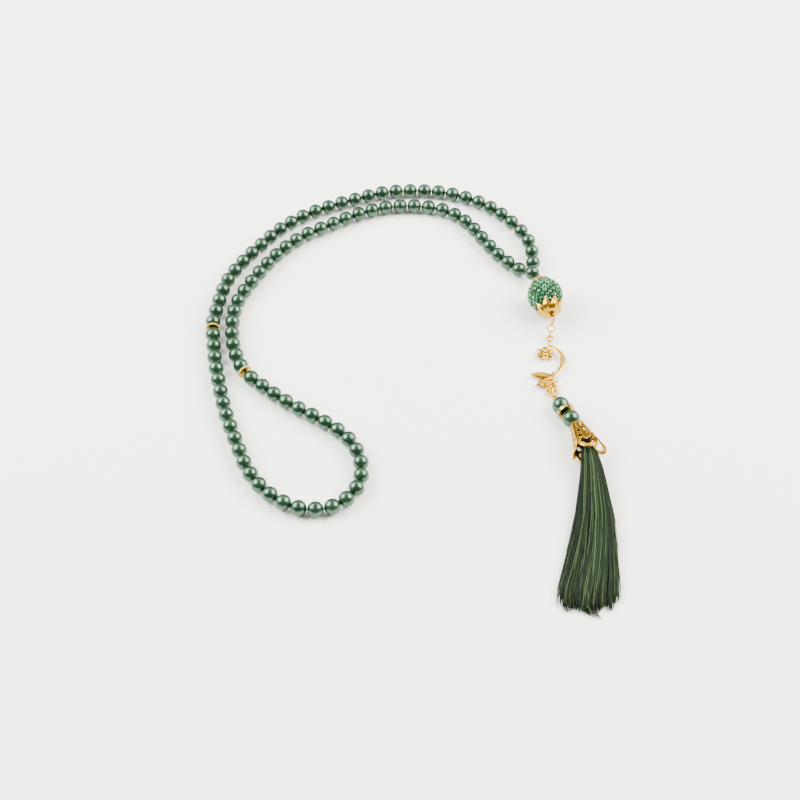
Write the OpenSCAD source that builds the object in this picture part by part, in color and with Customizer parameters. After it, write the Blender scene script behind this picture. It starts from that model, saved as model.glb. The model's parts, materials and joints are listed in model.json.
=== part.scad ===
// Misbaha: a loop of 99 pearl beads in three runs of 33, with two spacers, a gathering bead,
// a stone-set head ball, a chain with a crescent charm, two pendant beads, a filigree cone and a tassel.
// It lies on a flat surface at z = 0. Millimetres, +Z up, origin under the middle of the laid-out piece.

/* [Counting beads] */
// Diameter of a counting bead
bead_d = 8; // [7.9:0.02:8]
// Diameter of a bead's bore
bead_bore_d = 1.5; // [1.4:0.05:1.7]
// Diameter of the stringing cord
cord_d = 0.6; // [0.3:0.05:0.6]
// Room that the last bead before the second spacer has to slide in
slide_room = 0.8; // [0.5:0.05:0.8]

/* [Spacers] */
// Outer diameter of a strand spacer
spacer_d = 7.8; // [7:0.1:8]
// Thickness of a strand spacer
spacer_t = 1.2; // [1:0.05:1.2]
// Number of grains round a strand spacer
spacer_grains = 18; // [14:1:20]

/* [Head ball] */
// Diameter over the stones
ball_d = 19; // [18.8:0.1:19.2]
// Number of places in the stone pattern, before the ends are left clear
stone_places = 190; // [120:1:190]
// Width of a stone
stone_w = 2; // [1.6:0.05:2]
// Wall of the two metal caps
cap_wall = 0.6; // [0.4:0.05:0.7]
// Rim radius of the cap towards the beads
top_cap_r = 5.5; // [4.5:0.1:6]
// Radius of the flower cap at the petal tips
flower_r = 6.5; // [6:0.1:6.8]
// Number of petals
petals = 8; // [6:1:9]

/* [Links and pins] */
// Wire radius of the jump rings
link_wire = 0.35; // [0.3:0.01:0.35]
// Radius of a jump ring at the middle of its wire
link_r = 2; // [2:0.05:2.1]
// Wire radius of the two eye pins
pin_wire = 0.4; // [0.35:0.01:0.4]
// Running clearance round the pins
pin_clear = 0.05; // [0.03:0.01:0.08]

/* [Charm] */
// Thickness of the charm
charm_t = 1.4; // [1:0.1:1.6]
// Outer radius of the crescent
crescent_r = 13; // [12.8:0.1:13.2]

/* [Pendant] */
// Diameter of the two pendant beads
pendant_bead_d = 9; // [8.8:0.05:9]
// Outer diameter of the rondelle between them
rondelle_d = 9.4; // [9:0.1:9.4]
// Thickness of the rondelle
rondelle_t = 1.4; // [1.2:0.05:1.4]
// Length of the filigree cone
cone_len = 21; // [20:0.5:22]
// Radius of the cone at its narrow end
cone_top_r = 2.8; // [2.7:0.05:3]
// Radius of the cone at its mouth
cone_mouth_r = 7; // [6.8:0.05:7]
// Wall of the cone
cone_wall = 0.5; // [0.4:0.05:0.5]

/* [Hidden] */
$fn = 48;
LEAF = "#2f6b4f";
GOLD = "#dba84a";
THREAD = "#173d2a";

// Where the layout's own zero lies under the middle of the piece
MIDDLE = [-0.42, 13.05, 0];

// ---- the stringing cord: where it leaves the gathering bead, and its route round the loop ----
COLLECTOR = [71.3, 86, 7] - MIDDLE;
COLLECTOR_AZ = 113;
COLLECTOR_EL = -30;
OUTER_RUN = [[72.6, 97.5, 4.1], [71, 115, 4], [62.5, 130.5, 4], [51, 143, 4], [37.5, 151.5, 4],
    [22, 156.5, 4], [6, 157.5, 4], [-9, 156, 4], [-24, 150.5, 4], [-38.5, 144.5, 4],
    [-53, 136.5, 4], [-66, 125.5, 4], [-77.5, 110.5, 4], [-87, 96, 4], [-93.5, 82, 4],
    [-96.5, 67, 4], [-98, 55, 4]];
SPACER_1 = [-98.2, 47, 4];
LOOP_RUN = [[-95.5, 26, 4], [-92, 8, 4], [-87, -12, 4], [-80.5, -31, 4], [-73, -50, 4],
    [-62, -64, 4], [-47, -72.5, 4], [-31, -71, 4], [-20.5, -59.5, 4], [-19, -44, 4],
    [-25.5, -29, 4], [-38.5, -17.5, 4], [-54, -7, 4], [-67.5, 4, 4]];
SPACER_2 = [-79.2, 15.8, 4];
INNER_RUN = [[-85.5, 31, 4], [-88, 48, 4], [-86.5, 66, 4], [-79, 84, 4], [-67.5, 103.5, 4],
    [-54, 118.5, 4], [-38.5, 128.5, 4], [-22, 138, 4], [-5.5, 143.5, 4], [11, 144, 4],
    [26, 140, 4], [37.5, 130, 4], [45.5, 117, 4], [53.5, 104, 4.05], [63.5, 92.5, 4.2]];

// ---- the chain under the head ball ----
BALL = [76.8, 66.3, 9.5] - MIDDLE;
HEAD_AZ = -78;
HEAD_EL = -5;
CHAIN_AZ = -105;
CHAIN_EL = -42;
CHARM_AZ = -90;
DROP_AZ = -98;
DROP_EL = 53;
PIN_AZ = -65;
PIN_EL = 4.5;
CONE_AZ = -76;
CONE_EL = 3.5;
// Middle of the tassel, and its half width and half thickness, from the cone's mouth to its ends
SKIRT = [[92.4, -50, 5.6, 5.8, 4.4], [92.3, -60, 4.4, 7.3, 4], [92, -76, 3.5, 9.4, 3.3],
    [90.1, -93, 2.7, 11.5, 2.6], [87.5, -109, 2, 13.6, 1.9], [84.9, -122, 1.5, 15, 1.4],
    [83, -133, 1.1, 14, 1]];

// ---- small gaps and details ----
EPS = 0.01;
RING_GAP = 0.1;
CORD_CUT = 0.07;
CORD_SIDES = 8;
CORD_APART = 0.34;
IN_BORE = 3.2;
CURVE_STEPS = 8;
BEAD_EDGE = 0.05;
SPACER_GAP = 0.15;
GOLDEN_TURN = 137.508;

// ---- counts of the strand ----
RUN = 33;
OUTER_LAST = 27;
ARM_BEADS = 5;
INNER_FIRST = 75;
GROUP = 4;
OUTER_GROUPS = ceil(OUTER_LAST / GROUP);
LOOP_GROUPS = (RUN - 1) / GROUP;
INNER_GROUPS = (3 * RUN - INNER_FIRST) / GROUP;

// ---- vectors and curves ----
function dir(az, el) = [cos(el) * cos(az), cos(el) * sin(az), sin(el)];
function unit(v) = v / norm(v);
function placed(points) = [for (p = points) p - MIDDLE];
function spline(a, b, c, d, t) = 0.5 * (2 * b + (c - a) * t + (2 * a - 5 * b + 4 * c - d) * t * t
    + (3 * b - a - 3 * c + d) * t * t * t);
function near(points, i) = points[max(0, min(len(points) - 1, i))];
function curve(points) = concat([for (i = [0:len(points) - 2]) for (k = [0:CURVE_STEPS - 1])
    spline(near(points, i - 1), near(points, i), near(points, i + 1), near(points, i + 2), k / CURVE_STEPS)],
    [points[len(points) - 1]]);
function lengths(path) = [for (i = 0, s = 0; i < len(path);
    s = s + norm(near(path, i + 1) - near(path, i)), i = i + 1) s];

// ---- the route as one smooth curve, measured along its length ----
COLLECTOR_DIR = dir(COLLECTOR_AZ, COLLECTOR_EL);
CORD_EXIT = COLLECTOR + (bead_d / 2 + 0.3) * COLLECTOR_DIR;
ROUTE_POINTS = concat([CORD_EXIT], placed(OUTER_RUN), placed([SPACER_1]), placed(LOOP_RUN),
    placed([SPACER_2]), placed(INNER_RUN), [CORD_EXIT]);
ROUTE = curve(ROUTE_POINTS);
AT = lengths(ROUTE);
ROUTE_X = [for (i = [0:len(ROUTE) - 1]) [AT[i], ROUTE[i].x]];
ROUTE_Y = [for (i = [0:len(ROUTE) - 1]) [AT[i], ROUTE[i].y]];
ROUTE_Z = [for (i = [0:len(ROUTE) - 1]) [AT[i], ROUTE[i].z]];
function on_route(s) = [lookup(s, ROUTE_X), lookup(s, ROUTE_Y), lookup(s, ROUTE_Z)];
function heading(s) = unit(on_route(s + 1) - on_route(s - 1));
S_SPACER_1 = AT[(len(OUTER_RUN) + 1) * CURVE_STEPS];
S_SPACER_2 = AT[(len(OUTER_RUN) + len(LOOP_RUN) + 2) * CURVE_STEPS];
S_END = AT[len(AT) - 1];

// ---- where each bead sits on the cord ----
OUTER_LEAD = 3.9;
INNER_LEAD = 1.8;
HALF_SPACER = spacer_t / 2 + SPACER_GAP;
OUTER_PITCH = 8.13;
OUTER_LOOSE = 5;
OUTER_EXTRA = (S_SPACER_1 - HALF_SPACER - OUTER_LEAD - RUN * OUTER_PITCH) / OUTER_LOOSE;
LOOP_PITCH = (S_SPACER_2 - S_SPACER_1 - 2 * HALF_SPACER - slide_room) / RUN;
INNER_PITCH = (S_END - INNER_LEAD - S_SPACER_2 - HALF_SPACER) / RUN;
function outer_at(k) = OUTER_LEAD + k * OUTER_PITCH + min(k, OUTER_LOOSE) * OUTER_EXTRA;
// Place along the cord of the gap before bead k of the 99, and k = 99 for the far side of the last one
function gap_at(k) = k <= RUN ? outer_at(k)
    : k < 2 * RUN ? S_SPACER_1 + HALF_SPACER + (k - RUN) * LOOP_PITCH
    : S_SPACER_2 + HALF_SPACER + (k - 2 * RUN) * INNER_PITCH;
function bead_at(k) = k < RUN ? outer_at(k + 0.5)
    : k < 2 * RUN ? S_SPACER_1 + HALF_SPACER + (k - RUN + 0.5) * LOOP_PITCH
    : S_SPACER_2 + HALF_SPACER + (k - 2 * RUN + 0.5) * INNER_PITCH;
// The four gaps where the strand bends: two on the outer run and two on the inner
S_OUTER_HIGH = gap_at(OUTER_LAST);
S_OUTER_LOW = gap_at(OUTER_LAST + ARM_BEADS);
S_INNER_LOW = gap_at(INNER_FIRST - ARM_BEADS);
S_INNER_HIGH = gap_at(INNER_FIRST);

// ---- the head: everything on one axis through the ball, with v measured from its middle ----
HEAD_DIR = dir(HEAD_AZ, HEAD_EL);
EYE_R = 1.2;
TOP_EYE_R = 1;
TOP_EYE_V = -12.4;
TIE_R = 1.1;
TIE_V = -13.65;
BOTTOM_EYE_V = 16.6;
function on_head(v) = BALL + v * HEAD_DIR;
TIE_END = on_head(TIE_V - TIE_R);

// ---- chain centres, each ring hanging in the one before it ----
CHAIN_DIR = dir(CHAIN_AZ, CHAIN_EL);
LINK_STEP = 2 * link_r - 2 * link_wire - RING_GAP;
function hang(wire) = link_r - link_wire - wire - RING_GAP / 2;
LINK_1 = on_head(BOTTOM_EYE_V) + EYE_R * dir(CHAIN_AZ, 0) + hang(pin_wire) * CHAIN_DIR;
LINK_2 = LINK_1 + LINK_STEP * CHAIN_DIR;
LINK_3 = LINK_2 + LINK_STEP * CHAIN_DIR;
CHARM_LOOP_R = 1.6;
CHARM_WIRE = 0.45;
CHARM_LEN = 39;
// A little more room where a level ring hooks a sloping one
HOOK_SLACK = 0.12;
CHARM_DIR = dir(CHARM_AZ, 0);
CHARM_HOLD = LINK_3 + (hang(CHARM_WIRE) - HOOK_SLACK / 2) * CHAIN_DIR;
CHARM_TOP = CHARM_HOLD + CHARM_LOOP_R * CHARM_DIR;
CHARM_END = CHARM_TOP + CHARM_LEN * CHARM_DIR;
DROP_DIR = dir(DROP_AZ, DROP_EL);
LOWER_RING = CHARM_END + CHARM_LOOP_R * dir(DROP_AZ, 0) + hang(CHARM_WIRE) * DROP_DIR;
PIN_DIR = dir(PIN_AZ, PIN_EL);
PIN_RISE = hang(pin_wire) * sin(DROP_EL);
PIN_HOLD = LOWER_RING + [0, 0, PIN_RISE] + sqrt(link_r * link_r - PIN_RISE * PIN_RISE) * dir(DROP_AZ, 0);
PIN_EYE = PIN_HOLD + (EYE_R - pin_wire - link_wire - RING_GAP / 2 - HOOK_SLACK) * PIN_DIR;

// ---- along the pendant pin, with v measured from its upper eye ----
BEAD_1_V = EYE_R + pin_wire + BEAD_EDGE + pendant_bead_d / 2;
RONDELLE_V = BEAD_1_V + pendant_bead_d / 2 + BEAD_EDGE + rondelle_t / 2;
BEAD_2_V = RONDELLE_V + rondelle_t / 2 + BEAD_EDGE + pendant_bead_d / 2;
LOW_EYE_R = 1;
EYE_WIRE = pin_wire - 0.03;
LOW_EYE_V = BEAD_2_V + pendant_bead_d / 2 + 2 * BEAD_EDGE + LOW_EYE_R + pin_wire;
CONE_V = BEAD_2_V + pendant_bead_d / 2 + 0.25;
function on_pin(v) = PIN_EYE + v * PIN_DIR;

// ---- along the cone's axis, with v measured from its narrow end ----
CONE_DIR = dir(CONE_AZ, CONE_EL);
LOOP_R = 1.5;
LOOP_WIRE = 0.4;
NECK_V = 15;
HEAD_R = 2.9;
NECK_R = 2.7;
BIND_V = 12.4;
BIND_LEN = 2;
function on_cone(v) = on_pin(CONE_V) + v * CONE_DIR;
TASSEL_LOOP = on_pin(LOW_EYE_V) + (LOW_EYE_R + LOOP_R - LOOP_WIRE - pin_wire - BEAD_EDGE) * CONE_DIR;
HEAD_V = (TASSEL_LOOP - on_pin(CONE_V)) * CONE_DIR + LOOP_R;

// ---- shapes that repeat ----
module along(at, az, el) {
    translate(at) rotate([0, 90 - el, az]) children();
}

module ring(r, wire) {
    rotate_extrude() translate([r, 0]) circle(wire, $fn = 24);
}

// A ring lying level along its heading, and one standing on edge along it
module level_ring(at, az, el, r, wire) {
    translate(at) rotate([0, -el, az]) ring(r, wire);
}

module upright_ring(at, az, el, r, wire) {
    translate(at) rotate([0, -el, az]) rotate([90, 0, 0]) ring(r, wire);
}

module pearl(d, bore) {
    difference() {
        sphere(d = d);
        cylinder(h = d + 1, d = bore, center = true);
    }
}

module strung(s) {
    h = heading(s);
    along(on_route(s), atan2(h.y, h.x), asin(h.z)) children();
}

module counting_beads(first, last) {
    color(LEAF) for (k = [first:last]) strung(bead_at(k)) pearl(bead_d, bead_bore_d);
}

// Closed tube with flat ends, swept through points
module tube(points, r) {
    n = len(points);
    rings = [for (i = [0:n - 1]) let (
        t = unit(near(points, i + 1) - near(points, i - 1)),
        side = unit(cross(t, [0, 0, 1])),
        up = cross(side, t)
    ) for (k = [0:CORD_SIDES - 1]) let (a = 360 * k / CORD_SIDES)
        points[i] + r * (cos(a) * side + sin(a) * up)];
    walls = [for (i = [0:n - 2]) for (k = [0:CORD_SIDES - 1]) let (m = (k + 1) % CORD_SIDES)
        [i * CORD_SIDES + k, i * CORD_SIDES + m, (i + 1) * CORD_SIDES + m, (i + 1) * CORD_SIDES + k]];
    ends = [[for (k = [CORD_SIDES - 1:-1:0]) k], [for (k = [0:CORD_SIDES - 1]) (n - 1) * CORD_SIDES + k]];
    polyhedron(rings, concat(walls, ends), convexity = 10);
}

// Points of the cord along the bores of beads first to last, two in each bore
function in_bores(first, last) = [for (k = [first:last]) for (end = [-1, 1])
    on_route(bead_at(k)) + end * IN_BORE * heading(bead_at(k))];
// The two cord ends lie side by side through the gathering bead and meet in the tie
LEAD_SIDE = unit(cross(COLLECTOR_DIR, [0, 0, 1]));
function lead_in(side) = [for (p = [TIE_END, COLLECTOR, CORD_EXIT]) p + side * CORD_APART * LEAD_SIDE];

module cord(points) {
    color(THREAD) tube(points, cord_d / 2);
}

// ---- the strand ----
module outer_cord() {
    cord(concat(lead_in(1), in_bores(0, OUTER_LAST - 1), [on_route(S_OUTER_HIGH - CORD_CUT)]));
}

module inner_cord() {
    own = concat([on_route(S_INNER_HIGH + CORD_CUT)], in_bores(INNER_FIRST, 3 * RUN - 1));
    lead = lead_in(-1);
    cord(concat(own, [for (i = [len(lead) - 1:-1:0]) lead[i]]));
}

module outer_arm_cord() {
    cord(concat([on_route(S_OUTER_HIGH + CORD_CUT)], in_bores(OUTER_LAST, OUTER_LAST + ARM_BEADS - 1),
        [on_route(S_OUTER_LOW - CORD_CUT)]));
}

module inner_arm_cord() {
    cord(concat([on_route(S_INNER_LOW + CORD_CUT)], in_bores(INNER_FIRST - ARM_BEADS, INNER_FIRST - 1),
        [on_route(S_INNER_HIGH - CORD_CUT)]));
}

module loop_cord() {
    cord(concat([on_route(S_OUTER_LOW + CORD_CUT)], in_bores(RUN - 1, RUN - 1), [on_route(S_SPACER_1)],
        in_bores(RUN, 2 * RUN - 1), [on_route(S_SPACER_2)],
        in_bores(2 * RUN, INNER_FIRST - ARM_BEADS - 1), [on_route(S_INNER_LOW - CORD_CUT)]));
}

module cord_tie() {
    color(THREAD) level_ring(on_head(TIE_V), HEAD_AZ, HEAD_EL, TIE_R, cord_d / 2);
}

module outer_beads(i) {
    counting_beads((i - 1) * GROUP, min(i * GROUP, OUTER_LAST) - 1);
}

module loop_beads(i) {
    counting_beads(RUN + (i - 1) * GROUP, RUN + i * GROUP - 1);
}

module inner_beads(i) {
    counting_beads(INNER_FIRST + (i - 1) * GROUP, INNER_FIRST + i * GROUP - 1);
}

module outer_arm_beads() {
    counting_beads(OUTER_LAST, OUTER_LAST + ARM_BEADS - 1);
}

module inner_arm_beads() {
    counting_beads(INNER_FIRST - ARM_BEADS, INNER_FIRST - 1);
}

module outer_end_bead() {
    counting_beads(RUN - 1, RUN - 1);
}

module inner_end_beads() {
    counting_beads(2 * RUN, INNER_FIRST - ARM_BEADS - 1);
}

module sliding_bead() {
    counting_beads(2 * RUN - 1, 2 * RUN - 1);
}

// A disc with a row of grains round its edge
module grained_disc(d, t, grains, grain_r, bore) {
    difference() {
        union() {
            cylinder(h = t, r = d / 2 - grain_r, center = true);
            for (k = [0:grains - 1]) rotate([0, 0, 360 * k / grains])
                translate([d / 2 - grain_r, 0, 0]) sphere(grain_r, $fn = 20);
        }
        cylinder(h = 3 * t, d = bore, center = true);
    }
}

module spacer(s) {
    color(GOLD) strung(s) grained_disc(spacer_d, spacer_t * 0.8, spacer_grains, spacer_t / 2, bead_bore_d);
}

module spacer_1() {
    spacer(S_SPACER_1);
}

module spacer_2() {
    spacer(S_SPACER_2);
}

module collector_bead() {
    color(LEAF) along(COLLECTOR, COLLECTOR_AZ, COLLECTOR_EL) pearl(bead_d, bead_bore_d + 0.3);
}

// ---- the head ----
CAP_IN = ball_d / 2 + 0.15;
CORE_R = ball_d / 2 - 0.4;
STONE_TOP = sqrt(ball_d * ball_d / 4 - stone_w * stone_w / 4) - BEAD_EDGE;
PIN_BORE = pin_wire + pin_clear;
BARE_END = 16;
STONE_T = 0.6;

module on_ball() {
    along(BALL, HEAD_AZ, HEAD_EL) children();
}

module ball_core() {
    color(LEAF) on_ball() difference() {
        sphere(CORE_R);
        cylinder(h = 3 * ball_d, r = PIN_BORE, center = true);
    }
}

// Stones on a sunflower spiral over the ball, leaving both ends of its bore clear
module ball_stones() {
    color("#5fae86") on_ball() for (k = [0:stone_places - 1]) {
        tilt = acos(1 - (2 * k + 1) / stone_places);
        if (tilt > BARE_END && tilt < 180 - BARE_END)
            rotate([0, tilt, k * GOLDEN_TURN])
                translate([0, 0, STONE_TOP - STONE_T]) cylinder(h = STONE_T, d = stone_w, $fn = 8);
    }
}

module cap_shell() {
    difference() {
        sphere(CAP_IN + cap_wall);
        sphere(CAP_IN);
        cylinder(h = 3 * ball_d, r = PIN_BORE, center = true);
    }
}

module top_cap() {
    color(GOLD) on_ball() intersection() {
        cap_shell();
        translate([0, 0, -ball_d]) cylinder(h = ball_d, r = top_cap_r);
    }
}

NOTCH_R = 4;
CUP_V = 8.8;
CUP_LEN = 4;
CUP_R = 5.9;
CUP_NECK_R = 2.4;
NECK_END = BOTTOM_EYE_V - EYE_R - pin_wire - BEAD_EDGE;
PETAL_HOLE = 0.7;
PETAL_HOLE_TILT = 24;

module flower_outline() {
    polygon([for (k = [0:2 * petals - 1]) (k % 2 == 0 ? flower_r : NOTCH_R)
        * [cos(180 * k / petals), sin(180 * k / petals)]]);
}

module flower_cap() {
    color(GOLD) on_ball() difference() {
        union() {
            intersection() {
                cap_shell();
                linear_extrude(ball_d) flower_outline();
            }
            translate([0, 0, CUP_V]) cylinder(h = CUP_LEN, r1 = CUP_R, r2 = CUP_NECK_R);
            translate([0, 0, CAP_IN]) cylinder(h = NECK_END - CAP_IN, r1 = CUP_NECK_R, r2 = 1.3);
        }
        sphere(CAP_IN);
        cylinder(h = 3 * ball_d, r = PIN_BORE, center = true);
        for (k = [0:petals - 1]) rotate([0, PETAL_HOLE_TILT, 360 * k / petals])
            cylinder(h = ball_d, r = PETAL_HOLE);
    }
}

// One wire through the ball, with an eye at each end
module head_pin() {
    rod_from = TOP_EYE_V + TOP_EYE_R;
    color(GOLD) {
        on_ball() translate([0, 0, rod_from]) cylinder(h = BOTTOM_EYE_V - EYE_R - rod_from, r = pin_wire);
        upright_ring(on_head(TOP_EYE_V), HEAD_AZ, HEAD_EL, TOP_EYE_R, link_wire);
        level_ring(on_head(BOTTOM_EYE_V), HEAD_AZ, HEAD_EL, EYE_R, pin_wire);
    }
}

// ---- the chain and the charm ----
module link_1() {
    color(GOLD) upright_ring(LINK_1, CHAIN_AZ, CHAIN_EL, link_r, link_wire);
}

module link_2() {
    color(GOLD) level_ring(LINK_2, CHAIN_AZ, CHAIN_EL, link_r, link_wire);
}

module link_3() {
    color(GOLD) upright_ring(LINK_3, CHAIN_AZ, CHAIN_EL, link_r, link_wire);
}

module lower_ring() {
    color(GOLD) upright_ring(LOWER_RING, DROP_AZ, DROP_EL, link_r, link_wire);
}

// Flat petal shape: two arcs meeting in a point at its end
module leaf(len, wide) {
    big = (len * len + wide * wide) / (4 * wide);
    intersection() {
        translate([len / 2, big - wide / 2]) circle(big, $fn = 96);
        translate([len / 2, wide / 2 - big]) circle(big, $fn = 96);
    }
}

module blossom(r, count) {
    for (k = [0:count - 1]) rotate(360 * k / count) leaf(r, r * 0.62);
    circle(r * 0.36);
}

// The charm in plan: x to the right, y along from its upper loop, which is at zero
module charm_outline() {
    intersection() {
        difference() {
            translate([-6, -15.5]) circle(crescent_r, $fn = 96);
            translate([-8.3, -15.5]) circle(crescent_r - 0.5, $fn = 96);
        }
        translate([-3, -27.5]) square([12, 24.5]);
    }
    translate([-3, -10.2]) rotate(90) blossom(4.8, 6);
    translate([0, -31.5]) rotate(250) leaf(9, 3.2);
    translate([0.6, -26.6]) rotate(172) leaf(12, 4.2);
    translate([-1.2, -27.5]) rotate(215) leaf(9.5, 3.4);
    translate([-2, -32.6]) rotate(30) blossom(4.6, 5);
    translate([-1, -8.8]) square([2, 7.4]);
    translate([-1.3, -37.6]) square([2.2, 6]);
}

module crescent_charm() {
    color(GOLD) {
        translate(CHARM_TOP - [0, 0, charm_t / 2]) linear_extrude(charm_t) difference() {
            charm_outline();
            circle(CHARM_LOOP_R);
            translate([0, -CHARM_LEN]) circle(CHARM_LOOP_R);
            translate([-3, -10.2]) circle(0.8);
            translate([-2, -32.6]) circle(0.7);
        }
        level_ring(CHARM_TOP, CHARM_AZ, 0, CHARM_LOOP_R, CHARM_WIRE);
        level_ring(CHARM_END, CHARM_AZ, 0, CHARM_LOOP_R, CHARM_WIRE);
    }
}

// ---- the pendant ----
module on_pendant(v) {
    along(on_pin(v), PIN_AZ, PIN_EL) children();
}

module pendant_pin() {
    color(GOLD) {
        level_ring(on_pin(0), PIN_AZ, PIN_EL, EYE_R, EYE_WIRE);
        on_pendant(EYE_R) cylinder(h = LOW_EYE_V - EYE_R - LOW_EYE_R, r = pin_wire);
        level_ring(on_pin(LOW_EYE_V), PIN_AZ, PIN_EL, LOW_EYE_R, EYE_WIRE);
    }
}

module pendant_bead_1() {
    color(LEAF) on_pendant(BEAD_1_V) pearl(pendant_bead_d, 2 * PIN_BORE);
}

module pendant_bead_2() {
    color(LEAF) on_pendant(BEAD_2_V) pearl(pendant_bead_d, 2 * PIN_BORE);
}

RONDELLE_STONES = 16;

// A hub with a channel round its rim, in which the small stones sit
module rondelle() {
    color(GOLD) on_pendant(RONDELLE_V) difference() {
        cylinder(h = rondelle_t, d = rondelle_d, center = true);
        cylinder(h = 3 * rondelle_t, r = PIN_BORE, center = true);
        rotate_extrude() translate([rondelle_d / 2 - 0.5, -0.4]) square([1, 0.8]);
    }
}

module rondelle_stones() {
    color("#eef4ee") on_pendant(RONDELLE_V) for (k = [0:RONDELLE_STONES - 1])
        rotate([0, 90, 360 * k / RONDELLE_STONES]) translate([0, 0, rondelle_d / 2 - 0.5])
            cylinder(h = 0.45, r = 0.38, $fn = 8);
}

CONE_PETALS = 4;
PETAL_FROM = 11;
PETAL_ROUND_V = cone_len - 5.2;
PETAL_HALF = 5.2;

module cone_shell() {
    difference() {
        cylinder(h = cone_len, r1 = cone_top_r, r2 = cone_mouth_r);
        translate([0, 0, -EPS])
            cylinder(h = cone_len + 2 * EPS, r1 = cone_top_r - cone_wall, r2 = cone_mouth_r - cone_wall);
    }
}

// A flat outline cut outwards from the cone's axis, with x across the petal and y along the cone
module outwards() {
    rotate([90, 0, 90]) linear_extrude(2 * cone_mouth_r) children();
}

module petal_outline() {
    translate([0, PETAL_ROUND_V]) circle(PETAL_HALF);
    translate([-PETAL_HALF, PETAL_FROM - 1]) square([2 * PETAL_HALF, PETAL_ROUND_V - PETAL_FROM + 1]);
}

module petal_openings() {
    for (side = [-1, 1]) {
        translate([side * 1, 2.2]) square([0.7, 3], center = true);
        translate([side * 1.25, 8]) circle(0.75);
        translate([side * 1.9, 12.6]) circle(0.85);
        translate([side * 1.5, 16.4]) circle(1.15);
    }
    translate([0, 16.6]) rotate(45) square(2.4, center = true);
}

module filigree_cone() {
    color(GOLD) along(on_cone(0), CONE_AZ, CONE_EL) difference() {
        union() {
            intersection() {
                cone_shell();
                cylinder(h = PETAL_FROM, r = cone_mouth_r);
            }
            for (k = [0:CONE_PETALS - 1]) rotate([0, 0, 90 * k]) intersection() {
                cone_shell();
                outwards() petal_outline();
                linear_extrude(cone_len) polygon([[0, 0], [9, 8.4], [9, -8.4]]);
            }
        }
        for (k = [0:CONE_PETALS - 1]) rotate([0, 0, 90 * k]) outwards() petal_openings();
    }
}

module tassel_loop() {
    color(THREAD) upright_ring(TASSEL_LOOP, CONE_AZ, CONE_EL, LOOP_R, LOOP_WIRE);
}

module tassel_head() {
    color(THREAD) along(on_cone(0), CONE_AZ, CONE_EL) rotate_extrude() polygon([[0, HEAD_V], [1.5, HEAD_V],
        [2.5, HEAD_V + 1.6], [HEAD_R, HEAD_V + 4], [NECK_R, BIND_V - 0.2], [NECK_R, NECK_V], [0, NECK_V]]);
}

module tassel_binding() {
    color(THREAD) along(on_cone(BIND_V), CONE_AZ, CONE_EL) difference() {
        cylinder(h = BIND_LEN, r = NECK_R + 0.45);
        translate([0, 0, -EPS]) cylinder(h = BIND_LEN + 2 * EPS, r = NECK_R + 0.02);
    }
}

SKIRT_SIDES = 20;
NECK_GAP = 0.4;
SKIRT_NECK = [concat(on_cone(NECK_V + NECK_GAP), [2.6, 2.6]), concat(on_cone(cone_len - 1), [4.2, 4])];
SKIRT_ROWS = concat(SKIRT_NECK, [for (p = SKIRT) [p[0] - MIDDLE.x, p[1] - MIDDLE.y, p[2], p[3], p[4]]]);

// The threads as one soft body: oval sections from the neck to the free ends
module tassel_skirt() {
    n = len(SKIRT_ROWS);
    middle = [for (p = SKIRT_ROWS) [p[0], p[1], p[2]]];
    points = [for (i = [0:n - 1]) let (
        t = unit(near(middle, i + 1) - near(middle, i - 1)),
        side = unit(cross(t, [0, 0, 1]))
    ) for (k = [0:SKIRT_SIDES - 1]) middle[i] + SKIRT_ROWS[i][3] * cos(360 * k / SKIRT_SIDES) * side
        + SKIRT_ROWS[i][4] * sin(360 * k / SKIRT_SIDES) * [0, 0, 1]];
    walls = [for (i = [0:n - 2]) for (k = [0:SKIRT_SIDES - 1]) let (m = (k + 1) % SKIRT_SIDES)
        for (f = [[i * SKIRT_SIDES + k, i * SKIRT_SIDES + m, (i + 1) * SKIRT_SIDES + m],
            [i * SKIRT_SIDES + k, (i + 1) * SKIRT_SIDES + m, (i + 1) * SKIRT_SIDES + k]]) f];
    ends = [[for (k = [SKIRT_SIDES - 1:-1:0]) k], [for (k = [0:SKIRT_SIDES - 1]) (n - 1) * SKIRT_SIDES + k]];
    color(THREAD) polyhedron(points, concat(walls, ends), convexity = 6);
}

for (i = [1:OUTER_GROUPS]) outer_beads(i);
for (i = [1:LOOP_GROUPS]) loop_beads(i);
for (i = [1:INNER_GROUPS]) inner_beads(i);
outer_cord();
inner_cord();
outer_arm_cord();
inner_arm_cord();
loop_cord();
cord_tie();
outer_arm_beads();
inner_arm_beads();
outer_end_bead();
inner_end_beads();
sliding_bead();
spacer_1();
spacer_2();
collector_bead();
ball_core();
ball_stones();
top_cap();
flower_cap();
head_pin();
link_1();
link_2();
link_3();
crescent_charm();
lower_ring();
pendant_pin();
pendant_bead_1();
rondelle();
rondelle_stones();
pendant_bead_2();
filigree_cone();
tassel_loop();
tassel_head();
tassel_binding();
tassel_skirt();
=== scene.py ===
"""Misbaha of green pearl beads with a stone-set head ball, crescent charm, filigree cone and silk tassel.

Everything is in metres in the CAD frame: +Z up, the piece lies on the floor at z = 0. MM turns sizes in
millimetres into metres.
"""
import json
import math
import random

import bpy
import numpy as np
from mathutils import Matrix, Vector
from mathutils.geometry import delaunay_2d_cdt


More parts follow.
